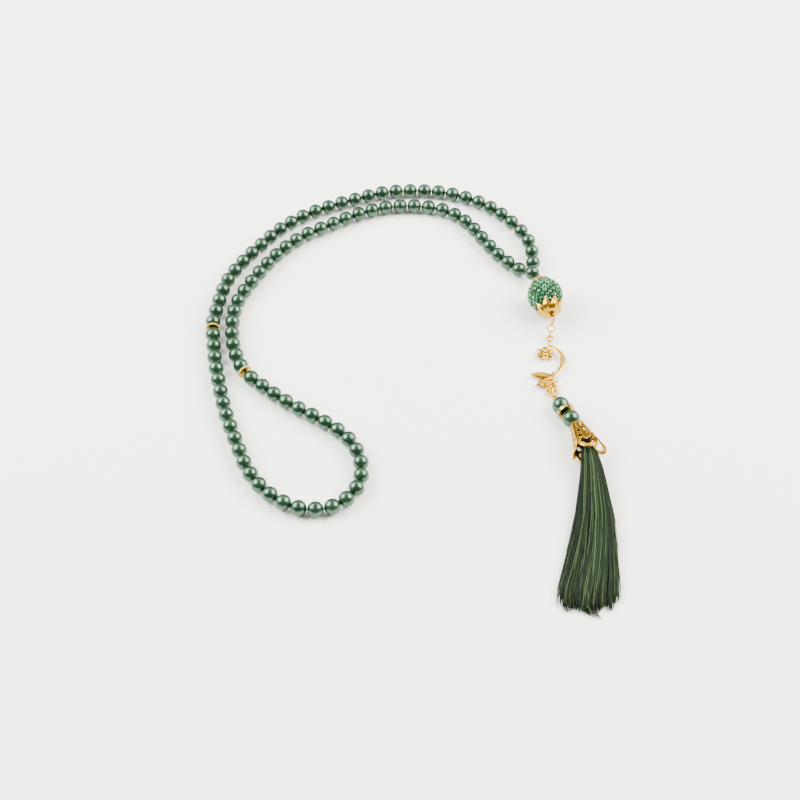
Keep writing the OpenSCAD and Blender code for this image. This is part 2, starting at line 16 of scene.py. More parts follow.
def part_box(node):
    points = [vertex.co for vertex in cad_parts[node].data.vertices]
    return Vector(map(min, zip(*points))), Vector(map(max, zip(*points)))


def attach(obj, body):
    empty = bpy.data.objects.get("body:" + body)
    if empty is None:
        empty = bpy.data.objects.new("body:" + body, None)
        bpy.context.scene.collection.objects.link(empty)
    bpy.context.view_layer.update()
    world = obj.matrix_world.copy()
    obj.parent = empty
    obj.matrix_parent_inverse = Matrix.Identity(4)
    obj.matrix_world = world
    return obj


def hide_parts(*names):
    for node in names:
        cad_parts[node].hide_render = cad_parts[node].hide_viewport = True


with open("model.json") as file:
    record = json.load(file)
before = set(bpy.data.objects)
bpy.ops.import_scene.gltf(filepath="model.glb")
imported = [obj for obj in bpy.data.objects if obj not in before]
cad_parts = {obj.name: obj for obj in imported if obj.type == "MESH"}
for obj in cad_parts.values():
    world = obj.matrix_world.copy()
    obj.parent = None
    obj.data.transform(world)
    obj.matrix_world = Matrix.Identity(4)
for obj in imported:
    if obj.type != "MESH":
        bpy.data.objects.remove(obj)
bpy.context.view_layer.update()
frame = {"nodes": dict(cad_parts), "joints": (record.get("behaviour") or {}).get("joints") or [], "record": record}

MM = 0.001
UP = Vector((0, 0, 1))
SEED = 33
JOINTS = {j["name"]: j for j in frame["joints"]}
luck = random.Random(SEED)


# ---- colours, nodes and meshes ----
def linear(hex_colour):
    """An sRGB hex value as the linear colour that a shader socket takes."""
    channels = [int(hex_colour[i:i + 2], 16) / 255 for i in (1, 3, 5)]
    return [c / 12.92 if c <= 0.04045 else ((c + 0.055) / 1.055) ** 2.4 for c in channels] + [1.0]


def add(tree, kind, wires=None, **settings):
    """One shader node, with its settings and what each input holds or is wired to."""
    made = tree.nodes.new(kind)
    for name, value in settings.items():
        setattr(made, name, value)
    for socket, value in (wires or {}).items():
        if isinstance(value, bpy.types.NodeSocket):
            tree.links.new(value, made.inputs[socket])
        else:
            made.inputs[socket].default_value = value
    return made


def finish_of(name):
    """An empty material, its node tree, and the place in millimetres that its patterns are measured in."""
    made = bpy.data.materials.new(name)
    made.use_nodes = True
    tree = made.node_tree
    tree.nodes.clear()
    place = add(tree, "ShaderNodeTexCoord").outputs["Object"]
    millimetres = add(tree, "ShaderNodeMapping", {"Vector": place, "Scale": (1000, 1000, 1000)})
    return made, tree, millimetres.outputs["Vector"]


def surface(tree, **sockets):
    """Closes a material with a Principled surface; sockets are named with underscores for spaces."""
    shader = add(tree, "ShaderNodeBsdfPrincipled", {k.replace("_", " "): v for k, v in sockets.items()})
    add(tree, "ShaderNodeOutputMaterial", {"Surface": shader.outputs["BSDF"]})


def ramp(tree, factor, stops):
    """Colours along a factor: stops are (place, hex) pairs."""
    made = add(tree, "ShaderNodeValToRGB", {"Fac": factor})
    line = made.color_ramp
    while len(line.elements) < len(stops):
        line.elements.new(0.5)
    for element, (place, colour) in zip(line.elements, stops):
        element.position = place
        element.color = linear(colour)
    return made.outputs["Color"]


def piece(name, parts, body, finish, stands_for=(), smooth=True, shades=None):
    """A mesh of several (points, faces) parts in metres, riding on a body.

    smooth may also be an angle in degrees, past which edges stay sharp. shades holds one value for each part.
    """
    points, faces, shade = [], [], []
    for i, (p, f) in enumerate(parts):
        start = len(points)
        points.extend(tuple(v) for v in p)
        faces.extend(tuple(start + k for k in face) for face in f)
        if shades is not None:
            shade.extend([shades[i]] * len(p))
    mesh = bpy.data.meshes.new(name)
    mesh.from_pydata(points, [], faces)
    mesh.update()
    if shades is not None:
        mesh.attributes.new("shade", "FLOAT", "POINT").data.foreach_set("value", shade)
    if smooth:
        mesh.shade_smooth()
        if smooth is not True:
            mesh.set_sharp_from_angle(angle=math.radians(smooth))
    mesh.materials.append(finish)
    made = bpy.data.objects.new(name, mesh)
    bpy.context.scene.collection.objects.link(made)
    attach(made, body)
    if stands_for:
        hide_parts(*stands_for)
    return made


def heading_frame(direction, centre):
    """A matrix that puts local z along a direction and, where that is level, local x straight down."""
    d = Vector(direction).normalized()
    turn = Matrix.Rotation(math.atan2(d.y, d.x), 4, "Z") @ Matrix.Rotation(math.acos(d.z), 4, "Y")
    return Matrix.Translation(centre) @ turn


def placed(part, matrix):
    """A part moved by a matrix."""
    points, faces = part
    return [matrix @ Vector(p) for p in points], faces


def in_metres(part):
    """A part that was drawn in millimetres."""
    points, faces = part
    return [Vector(p) * MM for p in points], faces


def lathe(profile, turns, closed=False):
    """A solid of revolution about z from (radius, height) pairs; closed joins the last pair to the first."""
    n = len(profile)
    angles = [2 * math.pi * k / turns for k in range(turns)]
    points = [(r * math.cos(a), r * math.sin(a), z) for r, z in profile for a in angles]
    faces = []
    for i in range(n if closed else n - 1):
        a, b = i * turns, (i + 1) % n * turns
        faces += [(a + k, a + (k + 1) % turns, b + (k + 1) % turns, b + k) for k in range(turns)]
    if not closed:
        faces.append(tuple(range(turns - 1, -1, -1)))
        faces.append(tuple((n - 1) * turns + k for k in range(turns)))
    return points, faces


def wire(route, radius, sides, closed=False, squash=1.0, level=UP):
    """A round or flattened wire along a route; radius is one number or one for each point."""
    route = [Vector(p) for p in route]
    n = len(route)
    radii = radius if isinstance(radius, (list, tuple)) else [radius] * n
    points = []
    for i, p in enumerate(route):
        before = route[(i - 1) % n] if closed else route[max(0, i - 1)]
        after = route[(i + 1) % n] if closed else route[min(n - 1, i + 1)]
        along = (after - before).normalized()
        side = along.cross(level).normalized()
        up = side.cross(along)
        for k in range(sides):
            a = 2 * math.pi * k / sides
            points.append(p + radii[i] * (math.cos(a) * side + squash * math.sin(a) * up))
    faces = []
    for i in range(n if closed else n - 1):
        a, b = i * sides, (i + 1) % n * sides
        faces += [(a + k, b + k, b + (k + 1) % sides, a + (k + 1) % sides) for k in range(sides)]
    if not closed:
        faces.append(tuple(range(sides)))
        faces.append(tuple((n - 1) * sides + k for k in range(sides - 1, -1, -1)))
    return points, faces


def circle(radius, height, steps):
    """Points in metres round local z, from a radius and a height in millimetres."""
    angles = [math.tau * k / steps for k in range(steps)]
    return [Vector((radius * math.cos(a), radius * math.sin(a), height)) * MM for a in angles]


def grain(radius, turns):
    """A small ball, cut flat at both ends, in the unit of its radius."""
    arc = [math.pi * i / 6 for i in range(1, 6)]
    return lathe([(radius * math.sin(a), -radius * math.cos(a)) for a in arc], turns)


def curve_point(a, b, c, d, u):
    """A point of a smooth curve from b to c, at u from 0 to 1; a comes before them and d after."""
    return 0.5 * (2 * b + (c - a) * u + (2 * a - 5 * b + 4 * c - d) * u * u
                  + (3 * b - a - 3 * c + d) * u ** 3)


def smooth_line(points, t):
    """A point along a smooth curve through a few points, at t from 0 to 1."""
    last = len(points) - 1
    i = min(last - 1, int(t * last))
    near = [Vector(points[max(0, min(last, i + k))]) for k in (-1, 0, 1, 2)]
    return curve_point(*near, t * last - i)


def smooth_loop(points, steps=4):
    """A closed smooth curve through a few points, with so many steps from each to the next."""
    made = []
    for i in range(len(points)):
        near = [Vector(points[(i + k) % len(points)]) for k in (-1, 0, 1, 2)]
        made += [curve_point(*near, j / steps) for j in range(steps)]
    return made


def shell(outer, inner, rows, columns):
    """Closes two equal grids of points in millimetres into one solid sheet."""
    n, wide, faces = len(outer), columns + 1, []
    for i in range(rows):
        for j in range(columns):
            a = i * wide + j
            faces += [(a, a + wide, a + wide + 1, a + 1), (n + a, n + a + 1, n + a + wide + 1, n + a + wide)]
    rim = list(range(wide)) + [i * wide + columns for i in range(1, rows + 1)]
    rim += [rows * wide + j for j in range(columns - 1, -1, -1)] + [i * wide for i in range(rows - 1, 0, -1)]
    faces += [(a, b, n + b, n + a) for a, b in zip(rim, rim[1:] + rim[:1])]
    return in_metres((outer + inner, faces))


# ---- camera, floor and light ----
LOOKED_AT = Vector((0.42, -13.05, 0)) * MM
CAMERA_AWAY = 784 * MM
CAMERA_HEIGHT = math.radians(48)
LENS_MM = 69.75
SENSOR_MM = 36

lens = bpy.data.cameras.new("camera")
lens.lens = LENS_MM
lens.sensor_width = SENSOR_MM
lens.clip_start = 0.01
camera = bpy.data.objects.new("camera", lens)
bpy.context.scene.collection.objects.link(camera)
towards_camera = Vector((0, -math.cos(CAMERA_HEIGHT), math.sin(CAMERA_HEIGHT)))
camera.location = LOOKED_AT + CAMERA_AWAY * towards_camera
camera.rotation_euler = (LOOKED_AT - camera.location).to_track_quat("-Z", "Y").to_euler()
bpy.context.scene.camera = camera


def softbox(name, place, size, watts, tint):
    """A rectangular light that faces the origin."""
    light = bpy.data.lights.new(name, "AREA")
    light.shape = "RECTANGLE"
    light.size, light.size_y = size
    light.energy = watts
    light.color = linear(tint)[:3]
    made = bpy.data.objects.new(name, light)
    made.location = place
    made.rotation_euler = (-Vector(place)).to_track_quat("-Z", "Y").to_euler()
    bpy.context.scene.collection.objects.link(made)


SIDE_SIZE = (1.15, 1.0)
SIDE_WATTS = 78
softbox("left_softbox", (-0.95, 0.2, 0.92), SIDE_SIZE, SIDE_WATTS, "#f6fff8")
softbox("right_softbox", (0.95, 0.2, 0.92), SIDE_SIZE, SIDE_WATTS, "#fffaf0")
softbox("back_softbox", (0, 1.1, 1.2), (1.8, 0.9), 14, "#ffffff")


def studio_floor():
    """A matt, pale paper floor with a faint fibre."""
    paper, tree, mm = finish_of("matt_studio_paper")
    fibre = add(tree, "ShaderNodeTexNoise", {"Vector": mm, "Scale": 0.8, "Detail": 3.0})
    tooth = add(tree, "ShaderNodeBump", {"Height": fibre.outputs["Fac"], "Strength": 0.05,
                                         "Distance": 0.0002})
    surface(tree, Base_Color=linear("#f7f6f1"), Roughness=0.85, Normal=tooth.outputs["Normal"])
    mesh = bpy.data.meshes.new("floor")
    reach = 3.0
    corners = [(reach * x, reach * y, 0) for x, y in ((-1, -1), (1, -1), (1, 1), (-1, 1))]
    mesh.from_pydata(corners, [], [(0, 1, 2, 3)])
    mesh.materials.append(paper)
    made = bpy.data.objects.new("floor", mesh)
    bpy.context.scene.collection.objects.link(made)


studio_floor()

world = bpy.data.worlds.new("studio_room")
bpy.context.scene.world = world
world.use_nodes = True
room = world.node_tree
room.nodes.clear()
sky_turn = add(room, "ShaderNodeTexCoord").outputs["Generated"]
sky_height = add(room, "ShaderNodeSeparateXYZ", {"Vector": sky_turn}).outputs["Z"]
sky = ramp(room, sky_height, [(0.0, "#5c5a55"), (0.35, "#b8b6b0"), (1.0, "#f4f4f2")])
lit = add(room, "ShaderNodeBackground", {"Color": sky, "Strength": 0.55})
add(room, "ShaderNodeOutputWorld", {"Surface": lit.outputs["Background"]})


# ---- finishes ----
def glass_pearl():
    """Glass bead under green pearl lacquer: a deep body colour, a soft metallic glow and a hard clear top."""
    made, tree, mm = finish_of("green_glass_pearl")
    cloud = add(tree, "ShaderNodeTexNoise", {"Vector": mm, "Scale": 0.35, "Detail": 3.0, "Roughness": 0.6})
    body = ramp(tree, cloud.outputs["Fac"], [(0.3, "#1f3a2a"), (0.7, "#33573e")])
    # Lacquer orange peel, far finer than the bead
    peel = add(tree, "ShaderNodeTexNoise", {"Vector": mm, "Scale": 2.2, "Detail": 2.0})
    skin = add(tree, "ShaderNodeBump", {"Height": peel.outputs["Fac"], "Strength": 0.08, "Distance": 0.0001})
    surface(tree, Base_Color=body, Metallic=0.85, Roughness=0.34, Coat_Weight=0.55, Coat_Roughness=0.12,
            Coat_IOR=1.55, Normal=skin.outputs["Normal"])
    return made


def gold_plate(name, bright, deep, roughness):
    """Cast brass with warm gold plate: bright gold where it stands up, with painted shade that turns the colour
    dark brown in its recesses.
    """
    made, tree, mm = finish_of(name)
    # Ambient occlusion paints shade into the colour: dark brown in the recesses
    painted_shade_mask = add(tree, "ShaderNodeAmbientOcclusion", {"Distance": 0.0012}, samples=8).outputs["AO"]
    colour = ramp(tree, painted_shade_mask, [(0.3, deep), (0.95, bright)])
    tool = add(tree, "ShaderNodeTexNoise", {"Vector": mm, "Scale": 3.0, "Detail": 4.0})
    rough = add(tree, "ShaderNodeMapRange", {"Value": tool.outputs["Fac"], "To Min": roughness - 0.06,
                                             "To Max": roughness + 0.12})
    dimple = add(tree, "ShaderNodeBump", {"Height": tool.outputs["Fac"], "Strength": 0.25,
                                          "Distance": 0.0001})
    surface(tree, Base_Color=colour, Metallic=1.0, Roughness=rough.outputs["Result"],
            Normal=dimple.outputs["Normal"])
    return made


def cut_stone(name, stops):
    """Foiled cut glass: flat facets that flash, each stone in its own shade where its mesh has shades."""
    made, tree, mm = finish_of(name)
    shade = add(tree, "ShaderNodeAttribute", attribute_name="shade").outputs["Fac"]
    colour = ramp(tree, shade, stops)
    swirl = add(tree, "ShaderNodeTexNoise", {"Vector": mm, "Scale": 1.5, "Detail": 2.0})
    rough = add(tree, "ShaderNodeMapRange", {"Value": swirl.outputs["Fac"], "To Min": 0.12, "To Max": 0.28})
    surface(tree, Base_Color=colour, Metallic=0.7, Roughness=rough.outputs["Result"], Coat_Weight=0.25,
            Coat_Roughness=0.02, Coat_IOR=1.6)
    return made


def setting_clay():
    """Epoxy clay between the stones: dark green and matt, with the fine grain of pressed clay."""
    made, tree, mm = finish_of("green_setting_clay")
    grain = add(tree, "ShaderNodeTexNoise", {"Vector": mm, "Scale": 4.0, "Detail": 5.0})
    colour = ramp(tree, grain.outputs["Fac"], [(0.3, "#08200f"), (0.7, "#123519")])
    bump = add(tree, "ShaderNodeBump", {"Height": grain.outputs["Fac"], "Strength": 0.5, "Distance": 0.0002})
    surface(tree, Base_Color=colour, Roughness=0.75, Specular_IOR_Level=0.15, Normal=bump.outputs["Normal"])
    return made


def silk(name, stops, roughness):
    """Spun silk: fine fibres, a soft sheen, and each thread in its own shade where its mesh has shades."""
    made, tree, mm = finish_of(name)
    shade = add(tree, "ShaderNodeAttribute", attribute_name="shade").outputs["Fac"]
    colour = ramp(tree, shade, stops)
    # Fibres about 0.2 mm apart, drawn out along y, the way the tassel lies
    drawn = add(tree, "ShaderNodeMapping", {"Vector": mm, "Scale": (1, 0.06, 1)}).outputs["Vector"]
    fibre = add(tree, "ShaderNodeTexNoise", {"Vector": drawn, "Scale": 6.0, "Detail": 3.0})
    bump = add(tree, "ShaderNodeBump", {"Height": fibre.outputs["Fac"], "Strength": 0.4, "Distance": 0.0001})
    surface(tree, Base_Color=colour, Roughness=roughness, Specular_IOR_Level=0.12, Sheen_Weight=0.02,
            Sheen_Roughness=0.4, Sheen_Tint=linear("#a8b89a"), Normal=bump.outputs["Normal"])
    return made


PEARL = glass_pearl()
# The second colour of each gold is the painted shade of its recesses
GOLD = gold_plate("warm_gold_plate", "#cf9c26", "#3a2302", 0.2)
BRIGHT_GOLD = gold_plate("bright_gold_plate", "#e0bb5c", "#5c3f0a", 0.18)
PAVE = cut_stone("green_cut_stone", [(0.0, "#0c4022"), (0.5, "#236a40"), (1.0, "#4a8f60")])
CLEAR = cut_stone("clear_cut_stone", [(0.0, "#b9bfae"), (1.0, "#ffffff")])
CLAY = setting_clay()
TASSEL_SILK = silk("green_tassel_silk", [(0.0, "#030b02"), (0.75, "#11260d"), (1.0, "#4c6238")], 0.5)
CORD_SILK = silk("green_cord_thread", [(0.0, "#0f2a1c"), (1.0, "#1d4630")], 0.55)


# ---- the beads ----
STRAND_BORE_R = 0.75 * MM
COLLECTOR_BORE_R = 0.9 * MM
PENDANT_BORE_R = 0.45 * MM
NODE_BODY = {n: b for b, ns in frame["record"]["behaviour"]["bodies"].items() for n in ns}


def loose_parts(node):
    """The separate solids of a CAD node, each as an array of its points."""
    mesh = frame["nodes"][node].data
    points = np.array([v.co for v in mesh.vertices])
    # Points that share a place count as one
    keys = {}
    same = [keys.setdefault(tuple(np.round(p / MM, 3)), i) for i, p in enumerate(points)]
    root = list(range(len(points)))

    def top(i):
        while root[i] != i:
            root[i] = root[root[i]]
            i = root[i]
        return i

    for polygon in mesh.polygons:
        first = top(same[polygon.vertices[0]])
        for v in polygon.vertices[1:]:
            root[top(same[v])] = first
    groups = {}
    for i in range(len(points)):
        groups.setdefault(top(same[i]), []).append(i)
    fewest = 12
    return [points[g] for g in groups.values() if len(g) > fewest]


def bead_place(points):
    """Centre and radius of one CAD bead."""
    centre = (points.max(0) + points.min(0)) / 2
    return Vector(centre), np.linalg.norm(points - centre, axis=1).max()


def strand_order():
    """All counting beads in the order they are strung: (node, centre, radius)."""
    names = [f"outer_beads_{i}" for i in range(1, 8)] + ["outer_arm_beads", "outer_end_bead"]
    names += [f"loop_beads_{i}" for i in range(1, 9)] + ["sliding_bead", "inner_end_beads", "inner_arm_beads"]
    names += [f"inner_beads_{i}" for i in range(1, 7)]
    low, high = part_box("collector_bead")
    last = (low + high) / 2
    found = []
    for name in names:
        waiting = [bead_place(p) for p in loose_parts(name)]
        while waiting:
            nearest = min(waiting, key=lambda b: (b[0] - last).length)
            waiting.remove(nearest)
            last = nearest[0]
            found.append((name, *nearest))
    return found


def pearl_shape(radius, bore):
    """A drilled pearl: a ball with a bore whose two rims are a little rounded."""
    rim = 0.12 * MM
    low = math.asin((bore + rim) / radius)
    steps = 22
    arc = [low + (math.pi - 2 * low) * i / steps for i in range(steps + 1)]
    profile = [(radius * math.sin(a), -radius * math.cos(a)) for a in arc]
    top = radius * math.cos(low)
    profile += [(bore + 0.3 * rim, top - 0.25 * rim), (bore, top - rim)]
    profile += [(bore, -top + rim), (bore + 0.3 * rim, -top + 0.25 * rim)]
    return lathe(profile, 40, closed=True)


BEADS = strand_order()


def counting_beads():
    """The strand's beads, with their bores along the line through their neighbours."""
    centres = [centre for _, centre, _ in BEADS]
    last = len(BEADS) - 1
    by_node = {}
    for i, (node, centre, radius) in enumerate(BEADS):
        if i == 0:
            along = (centre - centres[1]).normalized()
        elif i == last:
            along = (centre - centres[last - 1]).normalized()
        else:
            along = (centres[i + 1] - centres[i - 1]).normalized()
        # Lacquered beads differ by a few hundredths of a millimetre
        size = radius * (1 - 0.006 * luck.random())
        turned = heading_frame(along, centre) @ Matrix.Rotation(luck.uniform(0, math.tau), 4, "Z")
        by_node.setdefault(node, []).append(placed(pearl_shape(size, STRAND_BORE_R), turned))
    for node, parts in by_node.items():
        piece("pearls_" + node, parts, NODE_BODY[node], PEARL, [node])


def single_pearl(node, joint, bore):
    """A bead with a node of its own, a hair smaller than in the CAD."""
    low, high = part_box(node)
    matrix = heading_frame(JOINTS[joint]["axis"], (low + high) / 2)
    radius = (high.z - low.z) / 2
    pearl = placed(pearl_shape(radius * 0.998, bore), matrix)
    piece("pearl_" + node, [pearl], NODE_BODY[node], PEARL, [node])


counting_beads()
single_pearl("collector_bead", "collector_spin", COLLECTOR_BORE_R)
single_pearl("pendant_bead_1", "pendant_bead_1_spin", PENDANT_BORE_R)
single_pearl("pendant_bead_2", "pendant_bead_2_spin", PENDANT_BORE_R)


# ---- the head ball ----
BALL_AT = Vector(JOINTS["head_ball_spin"]["pos_m"])
ON_HEAD = heading_frame(JOINTS["head_ball_spin"]["axis"], BALL_AT)
BALL_R = 9.5
GOLDEN_TURN = math.radians(137.508)
STONE_PLACES = 190
# No stones within this angle of either end, where the pin comes out under the caps
BARE_END = math.radians(16)


def round_stone(across, table, crown, girdle, depth):
    """A brilliant: a flat table, two rows of crown facets, a thin girdle and a pointed back.

    table is the table's share of the width; z is out of the setting.
    """
    n = 8
    rings = [(table * across / 2, crown, 0.0), (0.78 * across / 2, 0.62 * crown, 0.5),
             (across / 2, girdle, 0.0), (across / 2, 0.0, 0.0)]
    points = [(r * math.cos(math.tau * (k + turn) / n), r * math.sin(math.tau * (k + turn) / n), z)
              for r, z, turn in rings for k in range(n)]
    points.append((0, 0, -depth))
    faces = [tuple(range(n))]
    for k in range(n):
        m = (k + 1) % n
        faces += [(k, n + k, m), (n + k, n + m, m)]
        faces += [(n + k, 2 * n + k, 2 * n + m), (n + k, 2 * n + m, n + m)]
        faces += [(2 * n + k, 3 * n + k, 3 * n + m, 2 * n + m), (3 * n + k, 4 * n, 3 * n + m)]
    return points, faces


def pave_stones():
    """Round stones on a sunflower spiral over the ball, as the CAD sets them."""
    cut = round_stone(across=2.12 * MM, table=0.5, crown=0.5 * MM, girdle=0.12 * MM, depth=0.35 * MM)
    seat = Matrix.Translation((0, 0, (BALL_R - 0.55) * MM))
    parts, shades = [], []
    for k in range(STONE_PLACES):
        tilt = math.acos(1 - (2 * k + 1) / STONE_PLACES)
        if not BARE_END < tilt < math.pi - BARE_END:
            continue
        nudged = tilt + luck.uniform(-0.06, 0.06)
        turn = Matrix.Rotation(k * GOLDEN_TURN, 4, "Z") @ Matrix.Rotation(nudged, 4, "Y")
        sit = seat @ Matrix.Rotation(luck.uniform(0, math.tau), 4, "Z")
        parts.append(placed(cut, ON_HEAD @ turn @ sit))
        shades.append(luck.random())
    piece("pave_stones", parts, "head_ball", PAVE, ["ball_stones"], smooth=False,
          shades=shades)


# Profile of the cup from its neck to the petal tips, as radius and height from the middle of the ball
CUP = [(1.9, 13.1), (3.2, 12.75), (4.5, 12.0), (5.5, 10.9), (6.1, 9.6), (6.5, 8.3), (7.2, 6.9)]
CUP_PETALS = 8


def flower_petal(turn):
    """One pointed petal of the cup: crowned across, with a raised rim and midrib, and its tip bent away."""
    rows, columns = 16, 12
    sheet = 0.3
    # Full width up to the shoulder, then in to a point over the rest
    shoulder, rest = 0.55, 0.45
    widest = math.pi / CUP_PETALS
    outer, inner = [], []
    for i in range(rows + 1):
        u = i / rows
        r, z = smooth_line(CUP, u)
        narrowing = 1.0 if u < shoulder else max(0.0, 1 - ((u - shoulder) / rest) ** 1.35)
        half = widest * 0.96 * narrowing + 0.006
        for j in range(columns + 1):
            v = 2 * j / columns - 1
            crown = 0.5 * (1 - v * v) * (0.4 + 0.6 * u)
            edge = 0.22 * abs(v) ** 8 + 0.16 * math.exp(-(v / 0.14) ** 2)
            reach = r + 0.8 * (crown + edge)
            a = turn + v * half
            outer.append((reach * math.cos(a), reach * math.sin(a), z + 0.5 * (crown + edge)))
            inner.append(((r - sheet) * math.cos(a), (r - sheet) * math.sin(a), z - 0.2))
    return shell(outer, inner, rows, columns)


def flower_cap():
    """Cast flower under the ball: a round cup of eight petals on a stepped neck."""
    bore, neck_end = 0.46, 14.95
    profile = [(bore, 12.2), (2.2, 12.2), (2.7, 12.8), (2.3, 13.2), (1.9, 13.35), (2.15, 13.6), (1.9, 13.85),
               (1.55, 14.1), (1.75, 14.35), (1.5, 14.7), (1.3, neck_end), (bore, neck_end)]
    parts = [lathe([(r * MM, z * MM) for r, z in profile], 40, closed=True)]
    parts += [flower_petal(math.tau * (k + 0.5) / CUP_PETALS) for k in range(CUP_PETALS)]
    parts = [placed(p, ON_HEAD) for p in parts]
    piece("flower_cap_cast", parts, "head_ball", GOLD, ["flower_cap"], smooth=40)


def top_cap_beading():
    """A ring of small metal beads round the plain cap, as on a milled edge."""
    radius, height, count = 5.45 * MM, -8.45 * MM, 40
    ball = grain(0.34 * MM, 8)
    angles = [math.tau * k / count for k in range(count)]
    places = [Matrix.Translation((radius * math.cos(a), radius * math.sin(a), height)) for a in angles]
    balls = [placed(placed(ball, p), ON_HEAD) for p in places]
    piece("top_cap_beading", balls, "head_ball", GOLD)


pave_stones()
flower_cap()
top_cap_beading()


# ---- the charm ----
# From the middle of the charm's upper loop to the middle of its lower one
CHARM_LENGTH = 39
CHARM_TOP = Vector(JOINTS["lower_ring_swing"]["pos_m"]) + Vector((0, CHARM_LENGTH, 0)) * MM
CHARM_LOW, CHARM_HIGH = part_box("crescent_charm")


def petal(length, width, rise, base):
    """A cast leaf lying flat: two arcs meeting in points, domed, with a sunken midrib."""
    rows, columns = 10, 8
    outer, inner = [], []
    for i in range(rows + 1):
        u = i / rows
        half = max(0.02, width / 2 * math.sin(math.pi * (0.03 + 0.94 * u)) ** 0.8)
        for j in range(columns + 1):
            v = 2 * j / columns - 1
            dome = (1 - v * v) ** 0.6 * math.sin(math.pi * min(0.97, 0.08 + 0.9 * u)) ** 0.5
            rib = 0.55 * math.exp(-(v / 0.2) ** 2) * (1 - u) ** 0.5
            outer.append((u * length, v * half, base + 0.35 + rise * dome * (1 - rib)))
            inner.append((u * length, v * half, base))
    return shell(outer, inner, rows, columns)


def on_charm(x, y, turn=0.0, z=0.0):
    """A matrix for a place on the charm, in millimetres: x to the right, y along it from its upper loop."""
    middle = (CHARM_LOW.z + CHARM_HIGH.z) / 2
    place = Vector((CHARM_TOP.x + x * MM, CHARM_TOP.y + y * MM, middle + z * MM))
    return Matrix.Translation(place) @ Matrix.Rotation(turn, 4, "Z")


def blossom(x, y, reach, count, turn):
    """A flower in two layers of veined petals round a stud with a ring of grains."""
    parts = []
    ring = 1.15
    for k in range(count):
        a = turn + math.tau * k / count
        parts.append(placed(petal(reach, reach * 0.72, 0.8, -0.7), on_charm(x, y, a)))
        parts.append(placed(petal(reach * 0.62, reach * 0.4, 0.6, 0.0), on_charm(x, y, a + math.pi / count)))
        spot = on_charm(x + ring * math.cos(a), y + ring * math.sin(a), z=0.75)
        parts.append(placed(in_metres(grain(0.32, 10)), spot))
    stud = [(0.05, 1.35), (0.45, 1.25), (0.75, 0.95), (0.8, 0.5), (1.2, 0.4), (1.3, -0.6), (0.05, -0.6)]
    parts.append(placed(in_metres(lathe(stud, 24)), on_charm(x, y)))
    return parts


def charm_ring(x, y):
    """A closed ring, cast on at one end of the charm."""
    return placed(wire(circle(1.6, 0, 40), 0.45 * MM, 12, closed=True), on_charm(x, y))


def crescent():
    """The curved band on the right: widest in its middle, pointed at both ends, with a rounded top."""
    steps = 48
    middle_x, middle_y, reach = -6.6, -15.5, 12.35
    route, radii = [], []
    for i in range(steps + 1):
        t = i / steps
        a = math.radians(58 - 118 * t)
        route.append(Vector((middle_x + reach * math.cos(a), middle_y + reach * math.sin(a), -0.05)) * MM)
        radii.append((0.32 + math.sin(math.pi * t) ** 0.8) * MM)
    return placed(wire(route, radii, 16, squash=0.52), on_charm(0, 0))


def charm():
    """The cast charm: two flowers, leaves, stems and the crescent, between a ring at each end."""
    parts = blossom(-3, -10.2, 4.9, 6, math.radians(90)) + blossom(-2, -32.6, 4.8, 5, math.radians(30))
    leaves = ((0, -31.5, 250, 9.0, 3.4), (0.6, -26.6, 172, 12.2, 4.4), (-1.2, -27.5, 215, 9.7, 3.6),
              (0.2, -23.4, 262, 6.0, 2.6))
    for x, y, turn, length, width in leaves:
        parts.append(placed(petal(length, width, 0.7, -0.7), on_charm(x, y, math.radians(turn))))
    stems = [[(0, -1.6), (-0.4, -3.4), (-1.2, -6), (-2.4, -9)], [(0.4, -36.9), (-0.4, -35.6), (-1.4, -33.6)],
             [(-0.6, -5.4), (0.6, -5.6), (1.2, -6.1)], [(-0.2, -24.6), (-0.2, -28), (-1, -31)]]
    for stem in stems:
        parts.append(placed(wire([Vector((x, y, -0.1)) * MM for x, y in stem], 0.5 * MM, 10), on_charm(0, 0)))
    parts += [charm_ring(0, 0), charm_ring(0, -CHARM_LENGTH), crescent()]
    piece("charm_cast", parts, "charm", GOLD, ["crescent_charm"], smooth=50)


charm()


# ---- the filigree cone ----
CONE_LENGTH, CONE_TOP_R, CONE_MOUTH_R = 21.0, 2.8, 7.0
# The cone's joint sits this far along it from its narrow end
CONE_JOINT_V = 10.0
CONE_SIDES = 4
CONE_AXIS = Vector(JOINTS["cone_spin"]["axis"])
ALONG_CONE = heading_frame(CONE_AXIS, Vector(JOINTS["cone_spin"]["pos_m"]) - CONE_JOINT_V * MM * CONE_AXIS)
# How far the mouth of a side is bent outwards, or, below zero, in towards the tassel
BENT_OUT, BENT_IN = 1.3, -0.9
SIDE_SHARE = 0.815
EDGE_WIRE_R, HOLE_WIRE_R = 0.34, 0.12


def surrounds(loop, spot):
    """Whether a flat closed loop goes round a spot."""
    crossings = 0
    for a, b in zip(loop, loop[1:] + loop[:1]):
        if (a.y > spot.y) != (b.y > spot.y) and spot.x < a.x + (b.x - a.x) * (spot.y - a.y) / (b.y - a.y):
            crossings += 1
    return crossings % 2 == 1


def cone_radius(v):
    """Radius of the plain cone, v along it from its narrow end."""
    return CONE_TOP_R + (CONE_MOUTH_R - CONE_TOP_R) * v / CONE_LENGTH


def on_side(s, v, out, spread):
    """A point of one side, from millimetres across it, along it from its narrow end, and out from it."""
    bend_v = 13
    r = cone_radius(v)
    flare = spread * max(0.0, (v - bend_v) / (CONE_LENGTH - bend_v)) ** 2
    return Vector((r - s * s / (3.8 * r) + flare + out, s, v))


